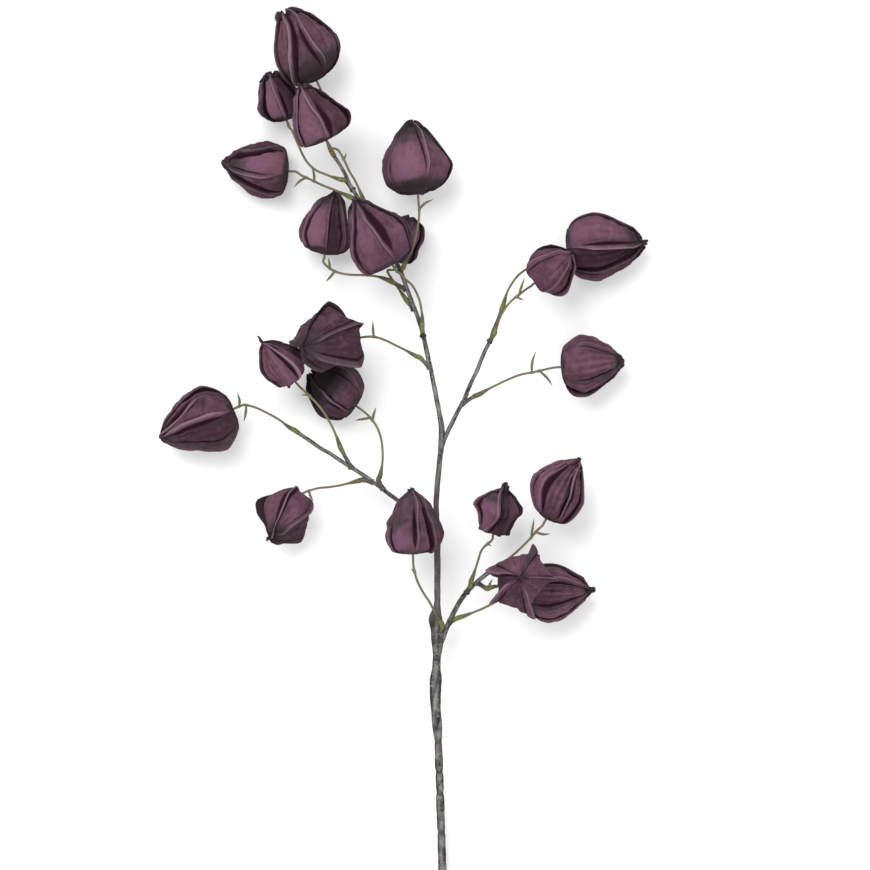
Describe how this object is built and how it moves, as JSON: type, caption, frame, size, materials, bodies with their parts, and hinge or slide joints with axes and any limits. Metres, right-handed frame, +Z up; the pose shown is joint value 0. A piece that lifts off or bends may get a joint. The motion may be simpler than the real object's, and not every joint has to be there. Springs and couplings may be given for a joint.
{
  "type": "chinese lantern stem",
  "caption": "A tall artificial Chinese lantern stem, with plum cloth lanterns on olive twigs that branch from a grey taped stem.",
  "frame": {"origin": "on the surface that the stem lies on, under the middle of its outline", "axes": "+X to the spray's right seen from above, +Y from the cut end to the top of the spray, +Z up"},
  "size_m": [0.389, 0.7561, 0.1079],
  "materials": {
    "cloth": "matt woven cloth, stiffened, plum with charcoal edges",
    "tape": "matt grey floral tape, wound over a wire",
    "twig": "moulded olive plastic with brownish places"
  },
  "bodies": {
    "root": {"main_stem": "tape", "branch_right": "tape", "branch_lower_left": "tape", "branch_lower_right": "tape", "twig_01": "twig", "twig_02": "twig", "twig_03": "twig", "twig_04": "twig", "twig_05": "twig", "twig_06": "twig", "twig_07": "twig", "twig_08": "twig", "twig_09": "twig", "twig_10": "twig", "twig_11": "twig", "twig_12": "twig", "twig_13": "twig", "twig_14": "twig", "twig_15": "twig", "twig_16": "twig", "twig_17": "twig", "twig_18": "twig", "twig_19": "twig", "twig_20": "twig", "twig_21": "twig", "lantern_01": "cloth", "lantern_02": "cloth", "lantern_03": "cloth", "lantern_04": "cloth", "lantern_05": "cloth", "lantern_06": "cloth", "lantern_07": "cloth", "lantern_08": "cloth", "lantern_09": "cloth", "lantern_10": "cloth", "lantern_11": "cloth", "lantern_12": "cloth", "lantern_13": "cloth", "lantern_14": "cloth", "lantern_15": "cloth", "lantern_16": "cloth", "lantern_17": "cloth", "lantern_18": "cloth", "lantern_19": "cloth", "lantern_20": "cloth", "lantern_21": "cloth"}
  },
  "joints": []
}
